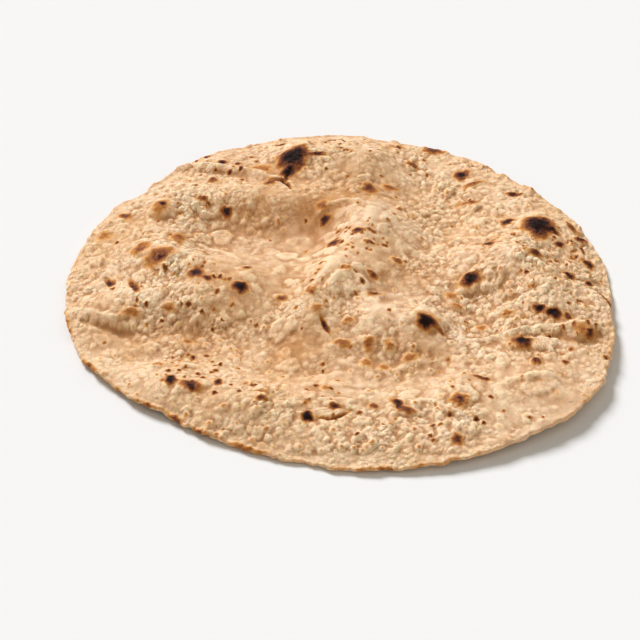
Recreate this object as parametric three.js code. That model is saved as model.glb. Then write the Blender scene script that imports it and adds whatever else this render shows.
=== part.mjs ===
import * as THREE from 'three';

// A roti: one thin round of rolled wheat dough, baked on a griddle and puffed by its own steam.
// Millimetres, +Z up. It lies on the plane z = 0, and its origin is under the middle of it.

// Driving dimensions
const SHEET_THICKNESS = 2.0;
const RIM_THICKNESS = 1.4;
const RIM_ROUNDING = 0.5;
const THINNING_BAND = 7;
const SHEET_LEVEL = 5.6;
const RIM_LEVEL = 3.6;
const RIM_DROP_WIDTH = 21;
const RIM_DROP_POWER = 2.2;
const GRID_STEPS = 40;
const HALF_GRID = GRID_STEPS / 2;

// The rolled outline: how far the edge is from the middle, in each direction in degrees.
// A hand-rolled round is never a true circle: this one bulges at -45 and has a nick at 147.
const OUTLINE = [
  [-170, 101.5], [-155, 101.5], [-140, 98], [-128, 94.5], [-115, 95], [-100, 96],
  [-88, 99], [-75, 101], [-60, 103.5], [-46, 106.5], [-35, 105.5], [-23, 101],
  [-10, 96.5], [4, 96.5], [18, 94.5], [32, 92], [45, 90.5], [58, 92.5],
  [68, 94.5], [80, 94.5], [92, 96], [106, 94], [121, 96], [135, 95.5],
  [144, 94.5], [150, 99], [162, 100], [176, 100.5],
];

// How far the rim comes down (or, below zero, lifts) from RIM_LEVEL, round one direction.
const RIM_WAVES = [
  { name: 'front-left rim lies down', direction: -105, spread: 36, drop: 2.9 },
  { name: 'left rim lies down', direction: 163, spread: 22, drop: 2.7 },
  { name: 'right rim lies down', direction: 2, spread: 17, drop: 2.7 },
  { name: 'back rim lies down', direction: 80, spread: 20, drop: 2.7 },
  { name: 'front-right rim lifts', direction: -45, spread: 24, drop: -2.2 },
];

// Puffed hills and ridges (rise above zero) and the hollows between them (rise below zero).
// Each one runs along a line from one point to the other and fades out over its width.
const FORMS = [
  { name: 'back hill', from: [-16, 72], to: [6, 68], rise: 7.0, width: 13 },
  { name: 'back-left ridge', from: [-60, 47], to: [-3, 44], rise: 4.6, width: 9 },
  { name: 'back-left hollow', from: [-48, 23], to: [-14, 24], rise: -4.6, width: 11 },
  { name: 'left hill', from: [-66, 8], to: [-38, -10], rise: 6.4, width: 12 },
  { name: 'left terrace', from: [-86, -17], to: [-56, -16], rise: 3.4, width: 8 },
  { name: 'left valley', from: [-94, -37], to: [-32, -38], rise: -5.0, width: 11 },
  { name: 'peak', from: [8, 33], to: [-3, 0], rise: 5.0, width: 10 },
  { name: 'second crest', from: [16, 26], to: [5, -11], rise: 4.2, width: 11 },
  { name: 'shoulder of the peak', from: [-7, -8], to: [-13, -24], rise: 5.6, width: 9 },
  { name: 'front dome', from: [12, -29], to: [23, -32], rise: 6.5, width: 11 },
  { name: 'valley round the front dome', from: [-24, -50], to: [28, -56], rise: -2.5, width: 9 },
  { name: 'hollow right of the peak', from: [35, 30], to: [36, 4], rise: -2.2, width: 9 },
  { name: 'right shoulder', from: [44, 8], to: [56, 4], rise: 3.0, width: 9 },
  { name: 'right hollow', from: [44, -18], to: [48, -30], rise: -4.0, width: 9 },
  { name: 'right ridge', from: [72, 28], to: [64, 14], rise: 4.0, width: 10 },
  { name: 'right dome', from: [64, 2], to: [72, -18], rise: 5.5, width: 10 },
  { name: 'back-right hollow', from: [34, 82], to: [38, 40], rise: -3.0, width: 13 },
  { name: 'front-left swell', from: [-62, -66], to: [-34, -74], rise: 4.0, width: 12 },
  { name: 'front-right swell', from: [38, -62], to: [66, -64], rise: 2.0, width: 12 },
  { name: 'front swell', from: [-12, -66], to: [-4, -68], rise: 1.5, width: 10 },
];

function smooth(value) {
  const t = THREE.MathUtils.clamp(value, 0, 1);
  return t * t * (3 - 2 * t);
}

// The angle from one direction to another, in degrees, the short way round.
function turn(from, to) {
  return THREE.MathUtils.euclideanModulo(to - from + 180, 360) - 180;
}

// The edge's distance from the middle, blended between the two outline points either side.
function outlineRadius(direction) {
  for (let i = 0; i < OUTLINE.length; i += 1) {
    const [start, startRadius] = OUTLINE[i];
    const [end, endRadius] = OUTLINE[(i + 1) % OUTLINE.length];
    const span = turn(start, end);
    const along = turn(start, direction);
    if (along >= 0 && along < span) {
      return THREE.MathUtils.lerp(startRadius, endRadius, smooth(along / span));
    }
  }
  return OUTLINE[0][1];
}

function distanceToForm(x, y, form) {
  const runX = form.to[0] - form.from[0];
  const runY = form.to[1] - form.from[1];
  const offX = x - form.from[0];
  const offY = y - form.from[1];
  const share = (offX * runX + offY * runY) / (runX * runX + runY * runY);
  const along = THREE.MathUtils.clamp(share, 0, 1);
  return Math.hypot(offX - along * runX, offY - along * runY);
}

// Height of the top of the sheet before it is laid on the table, at a point some way in from the rim.
function relief(x, y, direction, inward) {
  let height = SHEET_LEVEL;
  for (const form of FORMS) {
    height += form.rise * Math.exp(-((distanceToForm(x, y, form) / form.width) ** 2));
  }
  let rimHeight = RIM_LEVEL;
  for (const wave of RIM_WAVES) {
    rimHeight -= wave.drop * Math.exp(-((turn(wave.direction, direction) / wave.spread) ** 2));
  }
  const outward = THREE.MathUtils.clamp(1 - inward / RIM_DROP_WIDTH, 0, 1);
  return THREE.MathUtils.lerp(height, rimHeight, outward ** RIM_DROP_POWER);
}

// A square grid bent into a round one, so that its cells stay even right up to the rim.
function gridPoint(column, row) {
  const u = (column - HALF_GRID) / HALF_GRID;
  const v = (row - HALF_GRID) / HALF_GRID;
  const share = Math.max(Math.abs(u), Math.abs(v));
  if (share === 0) {
    return { x: 0, y: 0, direction: 0, inward: outlineRadius(0) };
  }
  const quarter = Math.PI / 4;
  let angle = quarter * (v / u);
  if (Math.abs(v) > Math.abs(u)) {
    angle = Math.PI / 2 - quarter * (u / v);
  }
  if (Math.abs(v) > Math.abs(u) ? v < 0 : u < 0) {
    angle += Math.PI;
  }
  const direction = THREE.MathUtils.radToDeg(angle);
  const radius = outlineRadius(direction);
  const reach = share * (radius - RIM_ROUNDING);
  return { x: reach * Math.cos(angle), y: reach * Math.sin(angle), direction, inward: radius - reach };
}

function sheetThickness(inward) {
  return THREE.MathUtils.lerp(RIM_THICKNESS, SHEET_THICKNESS, smooth(inward / THINNING_BAND));
}

// The grid's outermost points in order, anticlockwise seen from above.
function rimLoop() {
  const loop = [];
  for (let i = 0; i < GRID_STEPS; i += 1) loop.push([i, 0]);
  for (let i = 0; i < GRID_STEPS; i += 1) loop.push([GRID_STEPS, i]);
  for (let i = GRID_STEPS; i > 0; i -= 1) loop.push([i, GRID_STEPS]);
  for (let i = GRID_STEPS; i > 0; i -= 1) loop.push([0, i]);
  return loop;
}

function rotiGeometry() {
  const positions = [];
  const faces = [];
  const perSide = GRID_STEPS + 1;
  const undersideStart = perSide * perSide;
  const edgeStart = 2 * undersideStart;
  const topIndex = (column, row) => row * perSide + column;
  const undersideIndex = (column, row) => undersideStart + topIndex(column, row);

  // The underside follows the top, and is pressed flat where the sheet reaches the table.
  const underside = [];
  for (let row = 0; row < perSide; row += 1) {
    for (let column = 0; column < perSide; column += 1) {
      const { x, y, direction, inward } = gridPoint(column, row);
      const thickness = sheetThickness(inward);
      const bottom = Math.max(0, relief(x, y, direction, inward) - thickness);
      positions.push(x, y, bottom + thickness);
      underside.push(x, y, bottom);
    }
  }
  positions.push(...underside);

  // Two triangles a cell, split along the diagonal that points to the middle.
  for (let row = 0; row < GRID_STEPS; row += 1) {
    for (let column = 0; column < GRID_STEPS; column += 1) {
      const corners = [[column, row], [column + 1, row], [column + 1, row + 1], [column, row + 1]];
      const turned = (column < HALF_GRID) === (row < HALF_GRID) ? 0 : 1;
      const [a, b, c, d] = [0, 1, 2, 3].map((k) => corners[(k + turned) % 4]);
      faces.push(topIndex(...a), topIndex(...b), topIndex(...c));
      faces.push(topIndex(...a), topIndex(...c), topIndex(...d));
      faces.push(undersideIndex(...a), undersideIndex(...c), undersideIndex(...b));
      faces.push(undersideIndex(...a), undersideIndex(...d), undersideIndex(...c));
    }
  }

  // The rounded edge: one ring of points, half way up, joined to the top and to the underside.
  const loop = rimLoop();
  loop.forEach(([column, row]) => {
    const { x, y, direction } = gridPoint(column, row);
    const radius = outlineRadius(direction);
    const scale = radius / (radius - RIM_ROUNDING);
    const height = underside[3 * topIndex(column, row) + 2] + RIM_THICKNESS / 2;
    positions.push(x * scale, y * scale, height);
  });
  loop.forEach((here, i) => {
    const next = loop[(i + 1) % loop.length];
    const edgeHere = edgeStart + i;
    const edgeNext = edgeStart + ((i + 1) % loop.length);
    faces.push(topIndex(...here), edgeHere, edgeNext);
    faces.push(topIndex(...here), edgeNext, topIndex(...next));
    faces.push(undersideIndex(...here), undersideIndex(...next), edgeNext);
    faces.push(undersideIndex(...here), edgeNext, edgeHere);
  });

  const geometry = new THREE.BufferGeometry();
  geometry.setAttribute('position', new THREE.Float32BufferAttribute(positions, 3));
  geometry.setIndex(faces);
  geometry.computeBoundingBox();
  const middle = geometry.boundingBox.getCenter(new THREE.Vector3());
  geometry.translate(-middle.x, -middle.y, 0);
  geometry.computeVertexNormals();
  return geometry;
}

// Whole-wheat dough baked tan, dry and matte.
const bakedDough = new THREE.MeshStandardMaterial({ color: 0xdcb283, roughness: 0.85, metalness: 0 });

const roti = new THREE.Mesh(rotiGeometry(), bakedDough);
roti.name = 'roti';

const group = new THREE.Group();
group.add(roti);

export default group;
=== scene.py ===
import math
import random

import bmesh
import bpy
import numpy as np
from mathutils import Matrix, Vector, kdtree, noise
from mathutils.bvhtree import BVHTree


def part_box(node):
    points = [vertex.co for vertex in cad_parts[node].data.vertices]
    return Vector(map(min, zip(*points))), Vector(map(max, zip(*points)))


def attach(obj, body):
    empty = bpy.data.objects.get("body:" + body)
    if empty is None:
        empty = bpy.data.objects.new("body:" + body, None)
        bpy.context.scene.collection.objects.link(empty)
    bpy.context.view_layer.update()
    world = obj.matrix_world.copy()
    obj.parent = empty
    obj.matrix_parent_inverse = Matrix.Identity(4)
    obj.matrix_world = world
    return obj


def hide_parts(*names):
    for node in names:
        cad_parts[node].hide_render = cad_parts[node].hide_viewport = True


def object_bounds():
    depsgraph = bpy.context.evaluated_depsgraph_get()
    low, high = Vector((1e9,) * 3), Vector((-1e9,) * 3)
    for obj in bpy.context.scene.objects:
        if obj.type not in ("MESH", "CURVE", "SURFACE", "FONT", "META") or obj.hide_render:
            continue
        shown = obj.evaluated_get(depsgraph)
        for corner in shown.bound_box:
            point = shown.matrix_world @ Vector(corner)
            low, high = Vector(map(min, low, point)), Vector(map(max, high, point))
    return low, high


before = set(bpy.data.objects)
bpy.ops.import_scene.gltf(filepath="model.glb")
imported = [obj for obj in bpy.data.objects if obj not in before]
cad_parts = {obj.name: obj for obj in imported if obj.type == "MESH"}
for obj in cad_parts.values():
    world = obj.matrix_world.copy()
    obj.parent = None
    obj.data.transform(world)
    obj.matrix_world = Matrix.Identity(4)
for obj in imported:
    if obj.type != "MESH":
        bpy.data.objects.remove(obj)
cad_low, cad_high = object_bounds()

# A roti: a thin round of whole-wheat dough, rolled by hand and baked on a hot griddle. Steam puffs it
# into hills and raises thousands of small blisters, and the griddle scorches the tips of some of them.
# Lengths are in millimetres up to where a mesh, light or camera takes them, which is in metres.
MM = 0.001

# The sheet and its rim
RIM_POINTS = 1088            # points round the top's edge; the underside's edge has half as many
RIM_BANDS = 4
RIM_PROFILE = (              # (share of the way down, inset)
    (0, 0.5), (0.22, 0.14), (0.5, 0.0), (0.8, 0.3), (1, 1.0),
)
RIM_RAGGEDNESS = 0.75        # how far the edge of the rolled dough wanders in and out
RAGGED_MIDDLE = 0.6          # the wander's middle, as a share of RIM_RAGGEDNESS
RAGGED_WAVES = (             # (length, share, seed)
    (9, 0.8, 2.5), (3, 0.8, 7.5), (1.5, 0.5, 9.5),
)
SMOOTH_EDGE = 1.8            # the broad shape is read no nearer to the edge than this
THINNEST = 0.9               # the sheet is never thinner than this near its edge
SETTLING_BAND = 1.2          # blisters are lower this close to the edge
BROWNED_BAND = 2.2           # the browning of the edge reaches this far in
RELIEF_ROUNDS = 12           # how many cells round a point its relief is measured against

# Shares of the way from the middle to the edge
AT_THE_EDGE = 0.999
NEAR_THE_EDGE = 0.93
NO_RELIEF_BEYOND = 0.97

# Uneven ground between the blisters: (width, height)
GROUND = ((19, 0.6), (8.5, 0.7), (4.2, 0.36))

# Small blisters, on a jittered honeycomb
TOP_SPACING = 2.25
UNDERSIDE_SPACING = 3.1
HONEYCOMB_ROW = 0.866        # from one row to the next, as a share of the spacing
HONEYCOMB_REACH = 105
ROUND_REACH = 108            # no blister is kept further from the middle than this
GOLDEN_SHARE = 0.36          # how many of the blisters have a golden tip
BLISTER_HEIGHT = 0.4         # as a share of its width
DOME_STEEPNESS = 0.7         # below 1 gives steep sides and a round top

# The underside met the griddle first, so it is flatter and has broader spots
UNDERSIDE_GROUND = 1.5       # its ground fades out where it comes this close to the table
UNDERSIDE_BLISTERS = 0.8     # how high its blisters stand against the top's
UNDERSIDE_TAN = 0.15
UNDERSIDE_SPOTS = 150
UNDERSIDE_REACH = 95
SMALL_SPOT = (2, 6)
BROAD_SPOT = (7, 13)
SMALL_SPOT_SHARE = 0.8

# Broad low pillows where a pocket of steam has parted the sheet: (x, y, length, breadth, tilt, rise)
PILLOWS = (
    (84, -31, 15, 10, 8, 1.7), (64, -36, 20, 13, -14, 1.5), (52, -3, 19, 14, 15, 1.5),
    (93, -13, 15, 7, -62, 1.0), (-65, 10, 15, 9, 0, 0.9), (-57, 20, 10, 7, -10, 0.8),
    (-72, 17, 10, 7, -25, 0.8), (-66, 40, 12, 12, 0, 1.0), (31, -28, 14, 15, 60, 1.1),
    (-16, 71, 21, 16, 100, 0.7), (73, 30, 19, 14, 12, 0.8), (-43, 28, 10, 9, 0, 1.0),
    (21, -71, 14, 10, -10, 0.9), (41, -66, 11, 12, 80, 1.0), (-1, -69, 12, 6, 5, 0.8),
    (-6, -74.5, 18, 5, 6, 0.6), (50, 45, 7, 11, 90, 0.8), (2, -55, 42, 11, 4, 0.5),
    (67, -60, 16, 12, 20, 0.8), (-51, -60, 16, 10, -25, 0.8), (-78, -22, 12, 7, 10, 0.7),
    (3, -12, 18, 12, 20, 1.1), (43, -13, 12, 9, 0, 0.9), (-20, -29, 12, 9, 30, 0.9),
    (-49, 41, 14, 9, -10, 1.0),
)

# Smaller pillows, scattered everywhere: how many, how far out, their sizes and their rises
PUFFS = 150
PUFF_REACH = 97
PUFF_SIZE = (4.5, 10)
PUFF_RISE = (0.25, 0.75)

# Sharp crests and creases in the skin: (rise or, below zero, depth; width; scorch; points along it)
FOLDS = (
    (2.6, 8, 0.0, ((-72, 69), (-60, 71), (-50, 69.5), (-38, 66), (-29, 62), (-22, 58))),
    (-1.5, 2.6, 0.9, ((-26, 57.5), (-21.5, 57.5), (-19, 54), (-18, 50.5))),
    (-1.2, 2.4, 0.8, ((-17.5, 63), (-19.5, 60), (-20, 57))),
    (2.1, 7, 0.0, ((42, -37), (49, -34.5), (56, -33), (64, -32), (73, -30), (80, -29.5))),
    (1.7, 6, 0.06, ((78, -29.5), (86, -29), (91, -30.5), (94, -33))),
    (-0.8, 3, 0.1, ((62, -35), (70, -34.5), (77, -33.5))),
    (1.7, 7, 0.0, ((-94, -17), (-87, -21), (-81, -23.5), (-72, -27))),
    (-0.9, 4, 0.08, ((-93, -21.5), (-86, -25), (-79, -28), (-72, -29.5))),
    (1.0, 5, 0.0, ((-2, -44), (8, -49), (16, -51), (25, -48.5), (35, -46))),
    (1.1, 5, 0.0, ((21, -66), (30, -68), (37, -73), (42, -76))),
    (-0.8, 1.8, 0.75, ((-8, -76), (-3, -77), (1, -75.5), (3.5, -72.5))),
    (-0.7, 1.6, 0.5, ((-31, -66), (-27, -65), (-24, -67))),
    (0.9, 5, 0.0, ((-60, 25), (-50, 22), (-42, 17), (-36, 9))),
    (1.7, 7, 0.0, ((-9, 35), (-3, 40), (4, 41), (11, 37))),
    (1.0, 5, 0.0, ((33, 14), (38, 20), (47, 24), (56, 24))),
    (0.9, 5, 0.0, ((52, -62), (60, -58), (69, -56), (77, -58))),
)

# Where the edge itself is browned: (x, y, reach, how much)
BROWNED_RIM = (
    (-62, -74, 34, 1.1), (-93, -30, 20, 0.5), (74, 62, 30, 0.5), (-60, 76, 26, 0.4), (20, -97, 26, 0.4),
)

# Skin tanned golden by the griddle between the scorch marks, and painted shade on lee slopes and in hollows:
# (x, y, reach, how much)
TANNED_AND_PAINTED_SHADE = (
    (-30, 39, 15, 0.6), (-9, 39, 8, 1.0), (5, 46, 11, 0.9), (-76, -31, 12, 0.6), (-16, -37, 8, 0.9),
    (-17, 58, 8, 0.5), (-38, 75, 9, 0.4), (-40, -4, 10, 0.4), (30, -1, 9, 0.7), (-80, 22, 12, 0.2),
    (56, 5, 7, 0.6), (-56, -32, 11, 0.5), (28, -44, 9, 0.6), (84, -33, 8, 0.5), (66, -58, 9, 0.3),
)

# Skin that kept its dry flour and stayed pale, and painted light on some lit patches: (x, y, reach, how
# much)
FLOURED_AND_PAINTED_LIGHT = (
    (-82, -44, 16, 0.9), (-48, 68, 10, 0.4), (-10, 10, 11, 0.5), (52, -70, 18, 0.8), (28, 26, 15, 0.5),
    (-66, -62, 14, 0.4), (-50, 41, 10, 0.7), (-8, 66, 9, 0.5), (36, 72, 15, 0.5), (60, 42, 12, 0.5),
    (66, 4, 7, 0.5), (-60, 3, 9, 0.6), (2, -11, 10, 0.6), (43, -12, 8, 0.5), (-20, -26, 7, 0.6),
    (-71, -18, 8, 0.6), (-18, -79, 11, 0.6), (6, -89, 15, 0.7), (60, -38, 10, 0.4), (20, -60, 14, 0.4),
)

# Where small blisters stand thicker (above zero) or thinner (below zero): (x, y, reach, how much)
BLISTER_ZONES = (
    (76, -6, 26, 0.5), (58, 6, 14, 0.3), (56, -24, 14, 0.5), (34, -84, 26, 0.4), (-10, -90, 26, 0.2),
    (-58, -68, 22, -0.15), (-62, 44, 22, 0.3), (-70, -6, 18, 0.35), (10, -42, 14, 0.4),
    (62, -68, 20, -0.6), (45, 74, 18, 0.1), (-26, 6, 24, -0.5), (-14, 10, 12, -0.4), (2, -55, 22, -0.7),
    (22, 22, 16, -0.3), (-12, 30, 24, -0.25), (24, 46, 18, -0.15), (-2, 14, 10, -0.2),
    (18, -10, 14, -0.3), (-82, -44, 16, -0.35),
)

SCORCH_HALO = 1.45           # how much wider a mark's golden halo is than its brown part
MARK_BLISTER = 1.3           # how much wider than the mark its blister is
MARK_RISE = 0.8              # how high it stands, as a share of the rise in the list

# The plainest scorch marks, sorted by how far the griddle took them.
# kind: (how dark the middle is, how high its blister stands, (x, y, length, breadth, tilt) of each)
MARKS = {
    "golden blister": (0.38, 1.2, (
        (-30, 66, 14, 5, -10), (-67, 40, 8, 8, 0), (-87, 27, 6, 8, 0), (-60, -20, 5, 4, 0),
        (-73, -22, 7, 4, 0), (3, -6, 4, 4, 0), (-10, -16, 5, 4, 20), (-8, -24, 5, 4, 0),
        (3, -29, 4, 4, 0), (10, -40, 5, 6, 0), (17, -41, 4, 5, 0), (9, -47, 4, 5, 0),
        (15, -49, 4, 4, 0), (24, -46, 5, 4, 0), (40, -10, 6, 5, 35), (42, -15, 5, 3, 0),
        (59, -21, 5, 4, 0), (50, -25, 5, 3, 0), (85, -33, 8, 6, 0), (-53, -33, 4, 3, 0),
        (-62, -48, 5, 3, -20), (-5, -62, 4, 3, -30),
    )),
    "golden halo": (0.3, 0.0, (
        (47, -3, 9, 8, 0), (30, -30, 9, 8, 0), (62, -38, 9, 7, 0),
    )),
    "reddish patch": (0.52, 1.0, (
        (-59, 21, 6, 9, 0), (-72, 12, 7, 7, 0), (-65, 5, 12, 7, 0), (-50, 12, 6, 2, 10),
        (-6, 40, 5, 4, 0), (20, 54, 8, 4, -10), (50, 47, 8, 4, 0), (21, 6, 4, 4, 0),
        (1, -38, 6, 4, -10), (52, 60, 9, 3, 20), (40, -69, 6, 7, 0),
    )),
    "brown": (0.66, 0.7, (
        (-48, 60, 5, 3, 60), (-26, 56, 5, 4, 60), (-51, 44, 4, 3, 0), (-80, 39, 6, 4, -40),
        (-39, 71, 4, 2, 70), (-33, 0, 5, 3, 60), (-20, -15, 4, 3, 0), (11, 12, 4, 2, -10),
        (12, -5, 4, 4, 0), (12, -16, 5, 3, 10), (35, -34, 4, 2, -60), (38, 86, 9, 5, -10),
        (24, 87, 5, 3, 25), (7, 98, 5, 2, 10), (7, 84, 4, 2, -10), (29, 73, 5, 3, 0),
        (12, 52, 6, 5, 0), (61, 73, 5, 3, 25), (87, 31, 7, 3, -60), (71, 7, 5, 4, 0),
        (95, -11, 9, 2, -60), (47, -57, 6, 2, -25), (22, -73, 6, 3, -15), (11, -70, 3, 3, 0),
        (38, -86, 4, 4, 0), (-50, -62, 7, 5, -20), (-26, -70, 4, 3, 0),
    )),
    "burnt": (0.88, 0.7, (
        (-22, 83, 4, 3, 0), (-45, 73, 5, 3, 40), (-8, 69, 8, 2, 10), (-42, 39, 4, 4, 0),
        (-66, 41, 3, 3, 0), (-2, 16, 5, 6, 0), (7, 19, 4, 3, 10), (-5, 34, 4, 4, 0),
        (-51, -5, 5, 6, 0), (-47, -8, 3, 3, 0), (-64, 4, 5, 2, 0), (-1, 89, 5, 3, 0),
        (40, 88, 5, 3, 0), (48, 67, 6, 5, 0), (67, 52, 6, 3, 5), (63, 32, 5, 5, 0),
        (79, 25, 5, 4, -30), (82, 50, 3, 2, -40), (90, 24, 5, 3, 30), (81, 18, 4, 3, 20),
        (55, 17, 4, 4, 0), (91, 10, 6, 3, -45), (83, 0, 4, 4, 0), (90, -2, 3, 3, 0),
        (80, -25, 3, 3, 0), (87, -33, 3, 3, 0), (67, -48, 3, 4, 0), (77, -48, 3, 2, -30),
        (49, -58, 3, 2, 0), (40, -69, 3, 3, 0), (19, -70, 3, 7, 20), (-2, -72, 4, 3, 0),
        (-50, -63, 5, 3, -10), (-41, -60, 3, 4, 0), (-42, -66, 2, 2, 0),
    )),
    "charred": (1.1, 0.9, (
        (-17, 68, 12, 9, 0), (-19, 62, 6, 5, 60), (74, 26, 12, 11, 0), (-35, -12, 5, 5, 0),
        (47, -3, 6, 6, 0), (30, -32, 6, 6, 0), (63, -38, 6, 5, 0), (70, -22, 4, 3, 0),
        (75, -24, 5, 4, 0), (-57, -59, 4, 4, 0), (-11, -76, 4, 4, 0),
    )),
    "pit": (0.85, -1.0, (
        (-73, -8, 8, 3, -70), (-82, -4, 6, 3, -65), (-5, -30, 6, 2, -60),
    )),
}

# Peppery patches of pin-head scorch marks: (x, y, reach, how many)
PEPPER_SIZE = (1.0, 2.2)
PEPPER_DEPTH = (0.45, 0.9)
PEPPER = (
    (7, 16, 11, 40), (76, 17, 14, 30), (-52, -50, 12, 24), (-55, -14, 18, 30), (72, -14, 14, 14),
    (-45, 66, 16, 22), (5, 82, 14, 22), (-14, -62, 20, 16), (86, -34, 14, 14), (46, -78, 24, 14),
    (0, -10, 16, 14), (0, 0, 92, 110),
)

# The studio. A cool key and a warm fill, which together are white on the floor:
# (name, azimuth, elevation, strength, softness in degrees, colour)
LIGHTS = (
    ("key_light", -36, 40, 3.4, 22, (0.99, 1.0, 1.05)),
    ("fill_light", 140, 35, 0.75, 120, (1.13, 1.0, 0.78)),
)
AIR_LIGHT = 0.24
CAMERA_ELEVATION = 39        # degrees above the table
CAMERA_DISTANCE = 700
CAMERA_TARGET = (-6.8, -17.5)     # from the roti's middle
CAMERA_LENS = 110.8          # a long lens, for a sensor 36 mm wide


def linear(hex_colour):
    """An sRGB colour such as "c08040" as linear red, green, blue and alpha."""
    channels = [int(hex_colour[i:i + 2], 16) / 255 for i in (0, 2, 4)]
    return [c / 12.92 if c <= 0.04045 else ((c + 0.055) / 1.055) ** 2.4 for c in channels] + [1.0]


def smooth(value):
    """Eases from 0 to 1, with no corner at either end."""
    t = np.clip(value, 0.0, 1.0)
    return t * t * (3 - 2 * t)


def wander(x, y, size, seed):
    """Smooth unevenness from about -1 to 1, whose lumps are size millimetres wide."""
    return np.array([noise.noise(Vector((px / size, py / size, seed))) for px, py in zip(x, y)])


# ------------------------------------------------------------------ the CAD solid, as a guide

def guide_copy(node):
    """A merged copy of a CAD node, to read the broad shape from."""
    bpy.ops.object.select_all(action="DESELECT")
    copy = bpy.data.objects.new("guide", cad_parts[node].data.copy())
    bpy.context.collection.objects.link(copy)
    bpy.context.view_layer.objects.active = copy
    copy.select_set(True)
    bpy.ops.object.mode_set(mode="EDIT")
    bpy.ops.mesh.select_all(action="SELECT")
    bpy.ops.mesh.remove_doubles(threshold=0.01 * MM)
    bpy.ops.object.mode_set(mode="OBJECT")
    return copy


def rim_outline(solid):
    """The rim's directions (radians) and distances (millimetres): where up-facing meets down-facing."""
    work = bmesh.new()
    work.from_mesh(solid.data)
    rim = set()
    for edge in work.edges:
        ups = sorted(face.normal.z for face in edge.link_faces)
        if ups[0] < 0 < ups[-1]:
            rim.update(tuple(vertex.co / MM) for vertex in edge.verts)
    work.free()
    points = np.array(sorted(rim, key=lambda p: math.atan2(p[1], p[0])))
    return np.arctan2(points[:, 1], points[:, 0]), np.hypot(points[:, 0], points[:, 1])


def smooth_tree(solid):
    """Rounds the guide off, and makes it quick to find where a line meets it."""
    subdivide = solid.modifiers.new("rounder", "SUBSURF")
    subdivide.levels = subdivide.render_levels = 2
    bpy.ops.object.modifier_apply(modifier=subdivide.name)
    work = bmesh.new()
    work.from_mesh(solid.data)
    tree = BVHTree.FromBMesh(work)
    work.free()
    return tree


def read_heights(tree, x, y, from_above):
    """The guide's height at each point, seen from above or from below, in millimetres."""
    start = 1.0 if from_above else -1.0
    down = Vector((0, 0, -start))
    heights = np.zeros(len(x))
    for i, (px, py) in enumerate(zip(x, y)):
        hit = tree.ray_cast(Vector((px * MM, py * MM, start)), down)[0]
        heights[i] = hit.z / MM if hit else 0.0
    return heights


# ------------------------------------------------------------------ the blank

def lowest_edge(work):
    """The vertices round the lowest ring of a blank's rim."""
    return [v for v in work.verts if v.co.z < 0.1 - RIM_BANDS and v.co.xy.length > AT_THE_EDGE]


def sheet_blank(name):
    """A flat coin of radius 1, with a level for each ring of its rim: fine quads on top, coarser below."""
    bpy.ops.object.select_all(action="DESELECT")
    bpy.ops.mesh.primitive_circle_add(vertices=RIM_POINTS, radius=1, fill_type="NOTHING")
    blank = bpy.context.object
    blank.name = name
    bpy.ops.object.mode_set(mode="EDIT")
    bpy.ops.mesh.select_all(action="SELECT")
    bpy.ops.mesh.fill_grid(span=RIM_POINTS // 4)
    bpy.ops.mesh.select_all(action="SELECT")
    bpy.ops.mesh.region_to_loop()
    for _ in range(RIM_BANDS):
        bpy.ops.mesh.extrude_edges_move(TRANSFORM_OT_translate={"value": (0, 0, -1)})
    bpy.ops.mesh.select_all(action="DESELECT")
    bpy.ops.mesh.select_mode(type="VERT")
    work = bmesh.from_edit_mesh(blank.data)
    for vertex in lowest_edge(work):
        place = round(math.atan2(vertex.co.y, vertex.co.x) / math.tau * RIM_POINTS)
        vertex.select_set(place % 2 == 1)
    work.select_flush_mode()
    bmesh.update_edit_mesh(blank.data)
    bpy.ops.mesh.dissolve_verts()
    bpy.ops.mesh.select_all(action="DESELECT")
    bpy.ops.mesh.select_mode(type="EDGE")
    work = bmesh.from_edit_mesh(blank.data)
    lowest = set(lowest_edge(work))
    for edge in work.edges:
        edge.select_set(edge.verts[0] in lowest and edge.verts[1] in lowest)
    bmesh.update_edit_mesh(blank.data)
    bpy.ops.mesh.fill_grid(span=RIM_POINTS // 8)
    bpy.ops.mesh.select_all(action="SELECT")
    bpy.ops.mesh.normals_make_consistent(inside=False)
    bpy.ops.object.mode_set(mode="OBJECT")
    return blank


# ------------------------------------------------------------------ blisters and scorch marks

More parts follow.
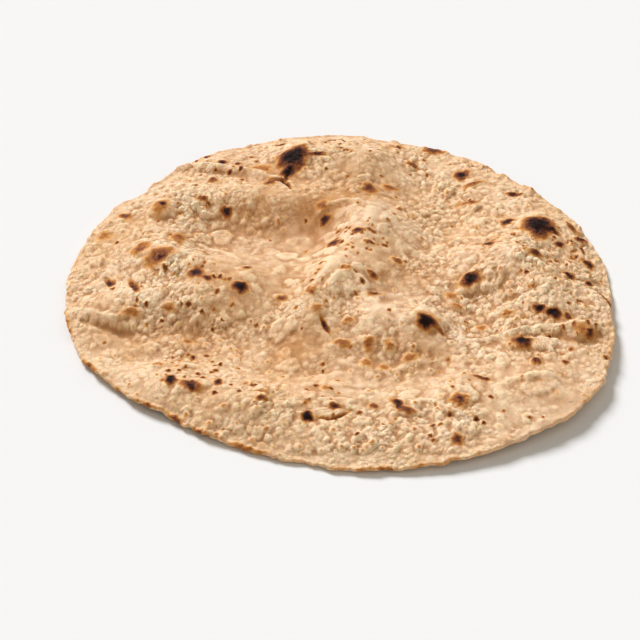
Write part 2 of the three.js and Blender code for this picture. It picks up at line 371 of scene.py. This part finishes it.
class Side:
    """One face of the sheet: points, and what the griddle has done at each of them."""

    def __init__(self, x, y):
        self.x = x
        self.y = y
        self.pillows = np.zeros(len(x))
        self.blisters = np.zeros(len(x))
        self.folds = np.zeros(len(x))
        self.toast = np.zeros(len(x))
        self.tree = kdtree.KDTree(len(x))
        for i, (px, py) in enumerate(zip(x, y)):
            self.tree.insert((px, py, 0), i)
        self.tree.balance()

    def oval(self, x, y, length, breadth, tilt, wobble, seed):
        """The points near an uneven oval, and how far out each one is: 0 in the middle, 1 at the edge."""
        reach = 0.5 * max(length, breadth) * (1 + wobble)
        near = np.array([i for _, i, _ in self.tree.find_range((x, y, 0), reach)], dtype=int)
        if len(near) == 0:
            return near, near
        across = self.x[near] - x
        along = self.y[near] - y
        turn = math.radians(tilt)
        u = (across * math.cos(turn) + along * math.sin(turn)) / (0.5 * length)
        v = (along * math.cos(turn) - across * math.sin(turn)) / (0.5 * breadth)
        out = np.hypot(u, v)
        if wobble:
            angle = np.arctan2(v, u)
            waves = (np.sin(2 * angle + seed) * 0.4 + np.sin(3 * angle + 2.3 * seed) * 0.35
                     + np.sin(5 * angle + 4.1 * seed) * 0.25)
            out = out / (1 + wobble * waves)
        return near, out

    def pillow(self, x, y, length, breadth, tilt, rise, seed):
        """A broad low swelling with a flat top."""
        near, out = self.oval(x, y, length, breadth, tilt, 0.22, seed)
        self.pillows[near] = np.maximum(self.pillows[near], rise * smooth((1 - out) / 0.32))

    def blister(self, x, y, length, breadth, tilt, rise, tip_toast, seed):
        """A round dome, golden at its tip by tip_toast. A pit, where rise is below zero, cuts all."""
        near, out = self.oval(x, y, length, breadth, tilt, 0.2, seed)
        dome = rise * np.clip(1 - out ** 2, 0, 1) ** DOME_STEEPNESS
        if rise < 0:
            self.blisters[near] = np.where(out < 1, dome, self.blisters[near])
            return
        self.blisters[near] = np.maximum(self.blisters[near], dome)
        if tip_toast > 0:
            self.toast[near] = np.maximum(self.toast[near], tip_toast * smooth((0.85 - out) / 0.75))

    def scorch(self, x, y, length, breadth, tilt, depth, seed):
        """A stain with an even middle, which fades through brown to golden at its edge."""
        near, out = self.oval(x, y, length * SCORCH_HALO, breadth * SCORCH_HALO, tilt, 0.3, seed)
        fade = np.clip((1 - out) / 0.75, 0, 1)
        self.toast[near] = np.maximum(self.toast[near], depth * fade)

    def fold(self, rise, width, depth, points):
        """A crest (or a crease, where rise is below zero) with straight sides and a sharp top."""
        away = np.full(len(self.x), np.inf)
        ends = np.ones(len(self.x))
        stretches = len(points) - 1
        for i, (start, end) in enumerate(zip(points, points[1:])):
            run = np.array(end) - np.array(start)
            along = ((self.x - start[0]) * run[0] + (self.y - start[1]) * run[1]) / (run @ run)
            along = np.clip(along, 0, 1)
            distance = np.hypot(self.x - start[0] - along * run[0], self.y - start[1] - along * run[1])
            nearer = distance < away
            away = np.where(nearer, distance, away)
            ends = np.where(nearer, (i + along) / stretches, ends)
        uneven = 1 + 0.5 * wander(self.x, self.y, 6, width)
        tapered = np.sin(math.pi * np.clip(ends, 0.04, 0.96)) ** 0.5
        share = np.clip(1 - away * uneven / (0.5 * width), 0, 1) ** 1.4 * tapered
        self.folds += rise * share
        if depth:
            self.toast = np.maximum(self.toast, depth * share ** 0.7)


def scatter(side, spacing, seed, strength_at):
    """Small blisters over a whole side, on a jittered honeycomb, as strong as strength_at says."""
    draw = random.Random(seed)
    half = int(HONEYCOMB_REACH / spacing)
    places = []
    for row in range(-half, half + 1):
        for column in range(-half, half + 1):
            x = (column + 0.5 * (row % 2) + draw.uniform(-0.42, 0.42)) * spacing
            y = (row * HONEYCOMB_ROW + draw.uniform(-0.4, 0.4)) * spacing
            places.append((x, y, draw.random(), draw.random(), draw.random(), draw.uniform(0, 180)))
    xs = np.array([p[0] for p in places])
    ys = np.array([p[1] for p in places])
    strengths = strength_at(xs, ys)
    for (x, y, keep, size, height, tilt), strength in zip(places, strengths):
        if keep > 0.35 + 0.6 * strength or x * x + y * y > ROUND_REACH ** 2:
            continue
        width = spacing * (0.65 + size ** 3) * (0.85 + 0.2 * strength)
        rise = width * BLISTER_HEIGHT * (0.35 + 0.65 * height) * (0.3 + 0.7 * strength)
        golden = 0.12 + 0.26 * height if (keep * 97) % 1 < GOLDEN_SHARE else 0.0
        side.blister(x, y, width * 1.15, width * 0.95, tilt, rise, golden, keep * 9)


def zones(table, x, y):
    """The sum of soft round zones, each (x, y, reach, how much)."""
    total = np.zeros(len(x))
    for zone_x, zone_y, reach, amount in table:
        total += amount * np.exp(-((x - zone_x) ** 2 + (y - zone_y) ** 2) / reach ** 2)
    return total


def top_strength(x, y):
    """How thickly small blisters stand on the top: about 0 in the smooth places, 1 in the rough ones."""
    return np.clip(0.68 + 0.5 * wander(x, y, 13, 5.5) + zones(BLISTER_ZONES, x, y), 0.05, 1.2)


def underside_strength(x, y):
    """The same for the underside, which has no zones."""
    return np.clip(0.6 + 0.5 * wander(x, y, 22, 31.5), 0.1, 1.0)


def mark(side, x, y, length, breadth, tilt, depth, rise):
    """One placed scorch mark on its blister. Its own place gives the seed of its uneven edge."""
    seed = (x * 7.3 + y * 3.1) % 6.28
    if rise:
        side.blister(x, y, length * MARK_BLISTER, breadth * MARK_BLISTER, tilt, rise * MARK_RISE, 0.0, seed)
    side.scorch(x, y, length, breadth, tilt, depth, seed)


def bake_top(side):
    """The puffed side: pillows, folds, small blisters, scorch marks and pepper, in that order."""
    for i, (x, y, length, breadth, tilt, rise) in enumerate(PILLOWS):
        side.pillow(x, y, length, breadth, tilt, rise, i)
    draw = random.Random(7)
    for _ in range(PUFFS):
        away = PUFF_REACH * math.sqrt(draw.random())
        bearing = draw.uniform(0, math.tau)
        size = draw.uniform(*PUFF_SIZE)
        side.pillow(away * math.cos(bearing), away * math.sin(bearing), size, size * draw.uniform(0.55, 0.9),
                    draw.uniform(0, 180), draw.uniform(*PUFF_RISE), draw.uniform(0, 6))
    for fold in FOLDS:
        side.fold(*fold)
    scatter(side, TOP_SPACING, 11, top_strength)
    for scorch, rise, places in MARKS.values():
        for place in places:
            mark(side, *place, scorch, rise)
    draw = random.Random(23)
    for x, y, reach, count in PEPPER:
        for _ in range(count):
            away = reach * math.sqrt(draw.random())
            bearing = draw.uniform(0, math.tau)
            size = draw.uniform(*PEPPER_SIZE)
            side.scorch(x + away * math.cos(bearing), y + away * math.sin(bearing), size, size * 0.8,
                        draw.uniform(0, 180), draw.uniform(*PEPPER_DEPTH), draw.uniform(0, 6))


def bake_underside(side):
    """The side that met the griddle first: flatter, with broad brown patches and many round spots."""
    scatter(side, UNDERSIDE_SPACING, 41, underside_strength)
    draw = random.Random(43)
    for _ in range(UNDERSIDE_SPOTS):
        away = UNDERSIDE_REACH * math.sqrt(draw.random())
        bearing = draw.uniform(0, math.tau)
        size = draw.uniform(*(SMALL_SPOT if draw.random() < SMALL_SPOT_SHARE else BROAD_SPOT))
        side.scorch(away * math.cos(bearing), away * math.sin(bearing), size, size * draw.uniform(0.6, 1),
                    draw.uniform(0, 180), draw.uniform(0.4, 0.95), draw.uniform(0, 6))


# ------------------------------------------------------------------ the sheet

def around(direction, known_directions, known_values):
    """Values known at some directions, blended to others, the whole way round."""
    order = np.argsort(known_directions)
    return np.interp(direction, known_directions[order], known_values[order], period=math.tau)


def local_relief(mesh, z, rounds):
    """How far each point stands above (or below) the average of the ground a few cells around it."""
    edges = np.empty(len(mesh.edges) * 2, dtype=np.int32)
    mesh.edges.foreach_get("vertices", edges)
    first, second = edges.reshape(-1, 2).T
    neighbours = np.bincount(edges, minlength=len(z))
    level = z.copy()
    for _ in range(rounds):
        total = np.bincount(first, level[second], len(z)) + np.bincount(second, level[first], len(z))
        level = 0.5 * level + 0.5 * total / neighbours
    return z - level


def rolled_edge(direction, rim_directions, rim_distances):
    """How far out the ragged edge of the rolled dough is, in each direction."""
    edge = around(direction, rim_directions, rim_distances)
    edge_x = edge * np.cos(direction)
    edge_y = edge * np.sin(direction)
    ragged = RAGGED_MIDDLE
    for length, amount, seed in RAGGED_WAVES:
        ragged = ragged + amount * wander(edge_x, edge_y, length, seed)
    return edge - RIM_RAGGEDNESS * ragged


def top_heights(tree, top, inner, ground, edge_gap):
    """The broad shape of the top, with its ground, pillows, folds and blisters on it."""
    heights = read_heights(tree, top.x * inner, top.y * inner, True)
    settle = smooth(edge_gap / SETTLING_BAND)
    return heights + (ground + top.pillows + top.folds + top.blisters * (0.35 + 0.65 * settle))


def underside_heights(tree, under, inner, ground):
    """The broad shape of the underside, which never goes below the table."""
    heights = read_heights(tree, under.x * inner, under.y * inner, False)
    heights += ground * smooth(heights / UNDERSIDE_GROUND)
    return np.maximum(heights - under.blisters * UNDERSIDE_BLISTERS, 0.0)


def add_attributes(mesh, attributes):
    """Gives each point of a mesh its own numbers, for its material to read."""
    for name, values in attributes.items():
        layer = mesh.attributes.new(name, "FLOAT", "POINT")
        layer.data.foreach_set("value", values.astype(np.float32))


def build_sheet():
    """The whole roti: one closed skin, from the flat coin of its blank."""
    guide = guide_copy("roti")
    rim = rim_outline(guide)
    tree = smooth_tree(guide)
    sheet = sheet_blank("roti_sheet")
    count = len(sheet.data.vertices)
    flat = np.empty(count * 3)
    sheet.data.vertices.foreach_get("co", flat)
    flat = flat.reshape(count, 3)

    # Where each point is in the plan
    level = np.rint(-flat[:, 2]).astype(int)
    share = np.hypot(flat[:, 0], flat[:, 1])
    direction = np.arctan2(flat[:, 1], flat[:, 0])
    edge = rolled_edge(direction, *rim)
    insets = np.array([inset for _, inset in RIM_PROFILE])
    reach = share * (edge - insets[level])
    x = reach * np.cos(direction)
    y = reach * np.sin(direction)
    inner = np.minimum(reach, edge - SMOOTH_EDGE) / np.maximum(reach, 0.001)
    ground = sum(height * wander(x, y, width, width) for width, height in GROUND)
    top_points = np.flatnonzero(level == 0)
    under_points = np.flatnonzero(level == RIM_BANDS)
    top_rim = top_points[share[top_points] > AT_THE_EDGE]
    under_rim = under_points[share[under_points] > AT_THE_EDGE]

    # The two sides
    top = Side(x[top_points], y[top_points])
    bake_top(top)
    top_z = top_heights(tree, top, inner[top_points], ground[top_points], (edge - reach)[top_points])
    under = Side(x[under_points], y[under_points])
    bake_underside(under)
    z = np.zeros(count)
    toast = np.zeros(count)
    z[under_points] = underside_heights(tree, under, inner[under_points], ground[under_points])
    toast[under_points] = under.toast
    under_edge_z = around(direction, direction[under_rim], z[under_rim])
    thinnest_z = under_edge_z[top_points] + THINNEST
    top_z = np.maximum(top_z, np.where(share[top_points] > NEAR_THE_EDGE, thinnest_z, top_z))
    z[top_points] = top_z
    toast[top_points] = top.toast

    # The bands of the rim, which join them
    bands = (level > 0) & (level < RIM_BANDS)
    downward = np.array([down for down, _ in RIM_PROFILE])[level]
    top_edge_z = around(direction, direction[top_rim], z[top_rim])
    z[bands] = (top_edge_z + (under_edge_z - top_edge_z) * downward)[bands]
    toast[bands] = around(direction, direction[top_rim], toast[top_rim])[bands]
    sheet.data.vertices.foreach_set("co", (np.column_stack((x, y, z)) * MM).astype(np.float32).ravel())

    # What the material reads
    near_rim = (1 - smooth((edge - reach) / BROWNED_BAND)) * (0.3 + zones(BROWNED_RIM, x, y))
    outward = np.where(level == RIM_BANDS, -1.0, 1.0)
    # relief: how far each point stands above the ground round it; the material paints light on the high
    # points and shade in the low ones from it
    relief = outward * local_relief(sheet.data, z, RELIEF_ROUNDS)
    relief[share > NO_RELIEF_BEYOND] = 0.0
    # The tanned zones hold painted shade as well as the griddle's colour, and the floured zones hold painted
    # light as well as dry flour
    tan_and_flour_with_painted_shade_and_light = zones(TANNED_AND_PAINTED_SHADE, x, y) - zones(FLOURED_AND_PAINTED_LIGHT, x, y)
    tan_and_flour_with_painted_shade_and_light[level > 0] = UNDERSIDE_TAN
    add_attributes(sheet.data, {
        "toast": toast, "rim": near_rim, "relief": relief, "tan_and_flour_with_painted_shade_and_light": tan_and_flour_with_painted_shade_and_light, "blistered": top_strength(x, y)})
    bpy.ops.object.select_all(action="DESELECT")
    sheet.select_set(True)
    bpy.context.view_layer.objects.active = sheet
    bpy.ops.object.shade_smooth()
    bpy.data.objects.remove(guide)
    return sheet


# ------------------------------------------------------------------ materials

def shade(value):
    """A grey for a ramp that is read as a number."""
    return (value, value, value, 1.0)


def fill_stops(ramp, stops):
    """Gives a colour ramp its stops, each (position, colour), in place of those it starts with."""
    while len(ramp.elements) > 1:
        ramp.elements.remove(ramp.elements[-1])
    for i, (position, colour) in enumerate(stops):
        element = ramp.elements[0] if i == 0 else ramp.elements.new(position)
        element.position = position
        element.color = colour


def add(tree, kind, settings, inputs):
    """One node. settings are its properties, with "stops" for a ramp's colours. inputs go by a socket's
    name or number, and each is a constant, another node, or one socket of another node."""
    node = tree.nodes.new(kind)
    for name, value in settings.items():
        if name == "stops":
            fill_stops(node.color_ramp, value)
        else:
            setattr(node, name, value)
    for key, value in inputs.items():
        live = [socket for socket in node.inputs if socket.enabled]
        socket = live[key] if isinstance(key, int) else next(s for s in live if s.name == key)
        if isinstance(value, bpy.types.Node):
            value = next(output for output in value.outputs if output.enabled)
        if isinstance(value, bpy.types.NodeSocket):
            tree.links.new(value, socket)
        else:
            socket.default_value = value
    return node


def new_material(name):
    """An empty node material, and its node tree."""
    material = bpy.data.materials.new(name)
    material.use_nodes = True
    material.node_tree.nodes.clear()
    return material, material.node_tree


def baked_dough():
    """Whole-wheat dough, baked dry on a griddle: matte light brown with bran flecks, paler floury blisters
    with golden tips, and scorch marks that go through orange and brown to black. Painted light brightens the
    blister tops and some lit patches, and painted shade darkens the creases, lee slopes and hollows."""
    material, tree = new_material("baked_whole_wheat_dough")
    place = add(tree, "ShaderNodeTexCoord", {}, {}).outputs["Object"]
    toast = add(tree, "ShaderNodeAttribute", {"attribute_name": "toast"}, {}).outputs["Fac"]
    rim = add(tree, "ShaderNodeAttribute", {"attribute_name": "rim"}, {}).outputs["Fac"]
    relief = add(tree, "ShaderNodeAttribute", {"attribute_name": "relief"}, {}).outputs["Fac"]
    tan_and_flour_with_painted_shade_and_light = add(tree, "ShaderNodeAttribute", {"attribute_name": "tan_and_flour_with_painted_shade_and_light"}, {}).outputs["Fac"]
    blistered = add(tree, "ShaderNodeAttribute", {"attribute_name": "blistered"}, {}).outputs["Fac"]

    # Seed pearls: the finest blisters, a millimetre or so wide, of every height, on a skin that has
    # shrunk unevenly as it dried
    drift = add(tree, "ShaderNodeTexNoise", {}, {"Vector": place, "Scale": 1 / (2.6 * MM), "Detail": 3.0})
    shrunk = add(tree, "ShaderNodeVectorMath", {"operation": "MULTIPLY_ADD"}, {
        0: drift.outputs["Color"], 1: (1.6 * MM, 1.6 * MM, 1.6 * MM), 2: place})
    crowding = add(tree, "ShaderNodeTexNoise", {}, {"Vector": place, "Scale": 1 / (11 * MM), "Detail": 3.0})
    crowded = add(tree, "ShaderNodeMapRange", {}, {
        "Value": crowding, "From Min": 0.38, "From Max": 0.6, "To Min": 0.35, "To Max": 1.2})
    crowded = add(tree, "ShaderNodeMath", {"operation": "MULTIPLY"}, {0: crowded, 1: blistered})
    pearls = []
    for size in (1.9, 1.15):
        cells = add(tree, "ShaderNodeTexVoronoi", {"feature": "F1"}, {
            "Vector": shrunk, "Scale": 1 / (size * MM)})
        dome = add(tree, "ShaderNodeValToRGB", {"stops": (
            (0.0, shade(1)), (0.28, shade(0.85)), (0.56, shade(0.4)), (0.82, shade(0)))}, {
            "Fac": cells.outputs["Distance"]})
        chance = add(tree, "ShaderNodeSeparateColor", {}, {"Color": cells.outputs["Color"]})
        tallness = add(tree, "ShaderNodeMapRange", {}, {
            "Value": chance, "To Min": 0.4, "To Max": 1.0})
        pearl = add(tree, "ShaderNodeMath", {"operation": "MULTIPLY"}, {0: dome, 1: tallness})
        pearls.append(add(tree, "ShaderNodeMath", {"operation": "MULTIPLY"}, {0: pearl, 1: crowded}))
    pearl, seed_pearl = pearls

    # Dough: paler and warmer by patches a few centimetres wide, and mottled in between
    broad = add(tree, "ShaderNodeTexNoise", {}, {"Vector": place, "Scale": 1 / (30 * MM), "Detail": 3.0})
    patches = add(tree, "ShaderNodeMapRange", {}, {"Value": broad, "From Min": 0.35, "From Max": 0.65})
    dough = add(tree, "ShaderNodeMix", {"data_type": "RGBA"}, {
        "Factor": patches, "A": linear("efc89b"), "B": linear("f5d5b0")})
    mottle = add(tree, "ShaderNodeTexNoise", {}, {"Vector": place, "Scale": 1 / (5 * MM), "Detail": 4.0})
    mottled = add(tree, "ShaderNodeMapRange", {}, {
        "Value": mottle, "From Min": 0.4, "From Max": 0.7, "To Max": 0.5})
    dough = add(tree, "ShaderNodeMix", {"data_type": "RGBA"}, {
        "Factor": mottled, "A": dough, "B": linear("dfac78")})
    # Tanned zones darken towards a golden brown, part griddle colour, part painted shade; floured zones pale
    # towards cream, part dry flour, part painted light
    tanned_and_painted_shade = add(tree, "ShaderNodeMapRange", {}, {"Value": tan_and_flour_with_painted_shade_and_light, "From Max": 1.0, "To Max": 0.75})
    dough = add(tree, "ShaderNodeMix", {"data_type": "RGBA"}, {
        "Factor": tanned_and_painted_shade, "A": dough, "B": linear("c4833c")})
    floured_and_painted_light = add(tree, "ShaderNodeMapRange", {}, {
        "Value": tan_and_flour_with_painted_shade_and_light, "From Min": 0.0, "From Max": -1.0, "To Max": 0.7})
    dough = add(tree, "ShaderNodeMix", {"data_type": "RGBA"}, {
        "Factor": floured_and_painted_light, "A": dough, "B": linear("fde0b8")})
    # Painted light and shade from the relief: cream tops on the blisters, partly painted light, and darker
    # brown creases round them, painted shade
    standing = add(tree, "ShaderNodeMath", {"operation": "MULTIPLY_ADD"}, {0: pearl, 1: 0.5, 2: relief})
    cream_tops_and_painted_light = add(tree, "ShaderNodeMapRange", {}, {
        "Value": standing, "From Min": 0.16, "From Max": 0.6, "To Max": 0.75})
    dough = add(tree, "ShaderNodeMix", {"data_type": "RGBA"}, {
        "Factor": cream_tops_and_painted_light, "A": dough, "B": linear("ffe4bd")})
    painted_crease_shade = add(tree, "ShaderNodeMapRange", {}, {
        "Value": standing, "From Min": 0.14, "From Max": -0.2, "To Max": 0.8})
    dough = add(tree, "ShaderNodeMix", {"data_type": "RGBA"}, {
        "Factor": painted_crease_shade, "A": dough, "B": linear("b37a47")})
    # Bran: coarse pale-brown flakes, and fine dark specks
    bran = add(tree, "ShaderNodeTexNoise", {}, {
        "Vector": place, "Scale": 1 / (1.3 * MM), "Detail": 2.0, "Roughness": 0.7})
    flakes = add(tree, "ShaderNodeMapRange", {}, {
        "Value": bran, "From Min": 0.6, "From Max": 0.7, "To Max": 0.4})
    dough = add(tree, "ShaderNodeMix", {"data_type": "RGBA"}, {
        "Factor": flakes, "A": dough, "B": linear("b88453")})
    dust = add(tree, "ShaderNodeTexNoise", {}, {"Vector": place, "Scale": 1 / (0.6 * MM), "Detail": 1.0})
    specks = add(tree, "ShaderNodeMapRange", {}, {
        "Value": dust, "From Min": 0.7, "From Max": 0.75, "To Max": 0.85})
    dough = add(tree, "ShaderNodeMix", {"data_type": "RGBA"}, {
        "Factor": specks, "A": dough, "B": linear("74482a")})

    # Toast: the griddle's marks, and a browned edge, both broken up a little by the grain of the dough
    edge_grain = add(tree, "ShaderNodeTexNoise", {}, {"Vector": place, "Scale": 1 / (6 * MM), "Detail": 5.0})
    edge_share = add(tree, "ShaderNodeMapRange", {}, {
        "Value": edge_grain, "From Min": 0.42, "From Max": 0.72, "To Min": 0.05, "To Max": 0.7})
    edge_toast = add(tree, "ShaderNodeMath", {"operation": "MULTIPLY"}, {0: rim, 1: edge_share})
    heat = add(tree, "ShaderNodeMath", {"operation": "MAXIMUM"}, {0: toast, 1: edge_toast})
    grain = add(tree, "ShaderNodeTexNoise", {}, {
        "Vector": place, "Scale": 1 / (2.0 * MM), "Detail": 5.0, "Roughness": 0.65})
    broken = add(tree, "ShaderNodeMapRange", {}, {
        "Value": grain, "From Min": 0.3, "From Max": 0.7, "To Min": 0.66, "To Max": 1.3})
    heat = add(tree, "ShaderNodeMath", {"operation": "MULTIPLY"}, {0: heat, 1: broken})
    toasted = add(tree, "ShaderNodeValToRGB", {"stops": (
        (0.05, linear("e9b673")), (0.22, linear("d4903f")), (0.38, linear("ad6c38")),
        (0.55, linear("824a2b")), (0.72, linear("542a1a")), (0.88, linear("351a11")),
        (1.0, linear("20120e")))}, {"Fac": heat})
    coloured = add(tree, "ShaderNodeMapRange", {}, {"Value": heat, "From Min": 0.04, "From Max": 0.3})
    skin = add(tree, "ShaderNodeMix", {"data_type": "RGBA"}, {"Factor": coloured, "A": dough, "B": toasted})
    rough = add(tree, "ShaderNodeMapRange", {}, {
        "Value": heat, "From Min": 0.3, "From Max": 0.9, "To Min": 0.85, "To Max": 0.68})
    gloss = add(tree, "ShaderNodeMapRange", {}, {
        "Value": heat, "From Min": 0.4, "From Max": 0.9, "To Min": 0.3, "To Max": 0.12})

    # Dry crust: the pearls, and a floury grain under a millimetre, too fine to model
    flour = add(tree, "ShaderNodeTexNoise", {}, {
        "Vector": place, "Scale": 1 / (0.9 * MM), "Detail": 4.0, "Roughness": 0.6})
    fine = add(tree, "ShaderNodeMath", {"operation": "MULTIPLY"}, {0: flour, 1: 0.13})
    finer = add(tree, "ShaderNodeMath", {"operation": "MULTIPLY_ADD"}, {0: seed_pearl, 1: 0.22, 2: fine})
    crumb = add(tree, "ShaderNodeMath", {"operation": "MULTIPLY_ADD"}, {0: pearl, 1: 0.62, 2: finer})
    crust = add(tree, "ShaderNodeBump", {}, {"Height": crumb, "Strength": 1.0, "Distance": 1.15 * MM})
    shader = add(tree, "ShaderNodeBsdfPrincipled", {}, {
        "Base Color": skin, "Roughness": rough, "IOR": 1.4, "Specular IOR Level": gloss,
        "Subsurface Weight": 0.4, "Subsurface Radius": (1.0, 0.5, 0.22), "Subsurface Scale": 1.2 * MM,
        "Normal": crust})
    add(tree, "ShaderNodeOutputMaterial", {}, {"Surface": shader})
    return material


def pale_floor_paint():
    """A matte white studio surface, just off white."""
    material, tree = new_material("matte_white_surface")
    shader = add(tree, "ShaderNodeBsdfPrincipled", {}, {
        "Base Color": linear("eeeeec"), "Roughness": 0.9, "Specular IOR Level": 0.1})
    add(tree, "ShaderNodeOutputMaterial", {}, {"Surface": shader})
    return material


# ------------------------------------------------------------------ the studio

def aim(thing, target):
    """Turns a light or a camera to face a place."""
    direction = Vector(target) - thing.location
    thing.rotation_mode = "QUATERNION"
    thing.rotation_quaternion = direction.to_track_quat("-Z", "Y")


def seen_from(target, azimuth, elevation, distance):
    """A place at a distance from the target. Azimuth is in degrees, 0 at the back and clockwise."""
    bearing = math.radians(azimuth)
    climb = math.radians(elevation)
    outward = math.cos(climb)
    way = Vector((math.sin(bearing) * outward, math.cos(bearing) * outward, math.sin(climb)))
    return Vector(target) + distance * way


def add_light(name, azimuth, elevation, strength, softness, colour, target):
    """A soft light, far enough away to light the whole table evenly."""
    data = bpy.data.lights.new(name, "SUN")
    data.energy = strength
    data.color = colour
    data.angle = math.radians(softness)
    lamp = bpy.data.objects.new(name, data)
    bpy.context.collection.objects.link(lamp)
    lamp.location = seen_from(target, azimuth, elevation, 2.0)
    aim(lamp, target)


def add_studio(middle):
    """A white surface under the roti, white air round it, and the lights."""
    bpy.ops.object.select_all(action="DESELECT")
    bpy.ops.mesh.primitive_plane_add(size=8, location=(middle.x, middle.y, cad_low.z))
    floor = bpy.context.object
    floor.name = "studio_floor"
    floor.data.materials.append(pale_floor_paint())

    world = bpy.data.worlds.new("studio_air")
    world.use_nodes = True
    world.node_tree.nodes["Background"].inputs["Color"].default_value = (1.0, 1.0, 1.0, 1.0)
    world.node_tree.nodes["Background"].inputs["Strength"].default_value = AIR_LIGHT
    bpy.context.scene.world = world
    for light in LIGHTS:
        add_light(*light, middle)
    bpy.context.scene.view_settings.view_transform = "Standard"


def add_camera(middle):
    """Looks along +Y and down on the table."""
    aside, forward = CAMERA_TARGET
    target = Vector((middle.x + aside * MM, middle.y + forward * MM, cad_low.z))
    data = bpy.data.cameras.new("camera")
    data.sensor_width = 36
    data.lens = CAMERA_LENS
    data.clip_start = 0.05
    data.clip_end = 20
    camera = bpy.data.objects.new("camera", data)
    bpy.context.collection.objects.link(camera)
    camera.location = seen_from(target, 180, CAMERA_ELEVATION, CAMERA_DISTANCE * MM)
    aim(camera, target)
    bpy.context.scene.camera = camera


low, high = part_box("roti")
middle = Vector(((low.x + high.x) / 2, (low.y + high.y) / 2, low.z))
add_camera(middle)
add_studio(middle)

sheet = build_sheet()
sheet.data.materials.append(baked_dough())
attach(sheet, "root")
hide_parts("roti")
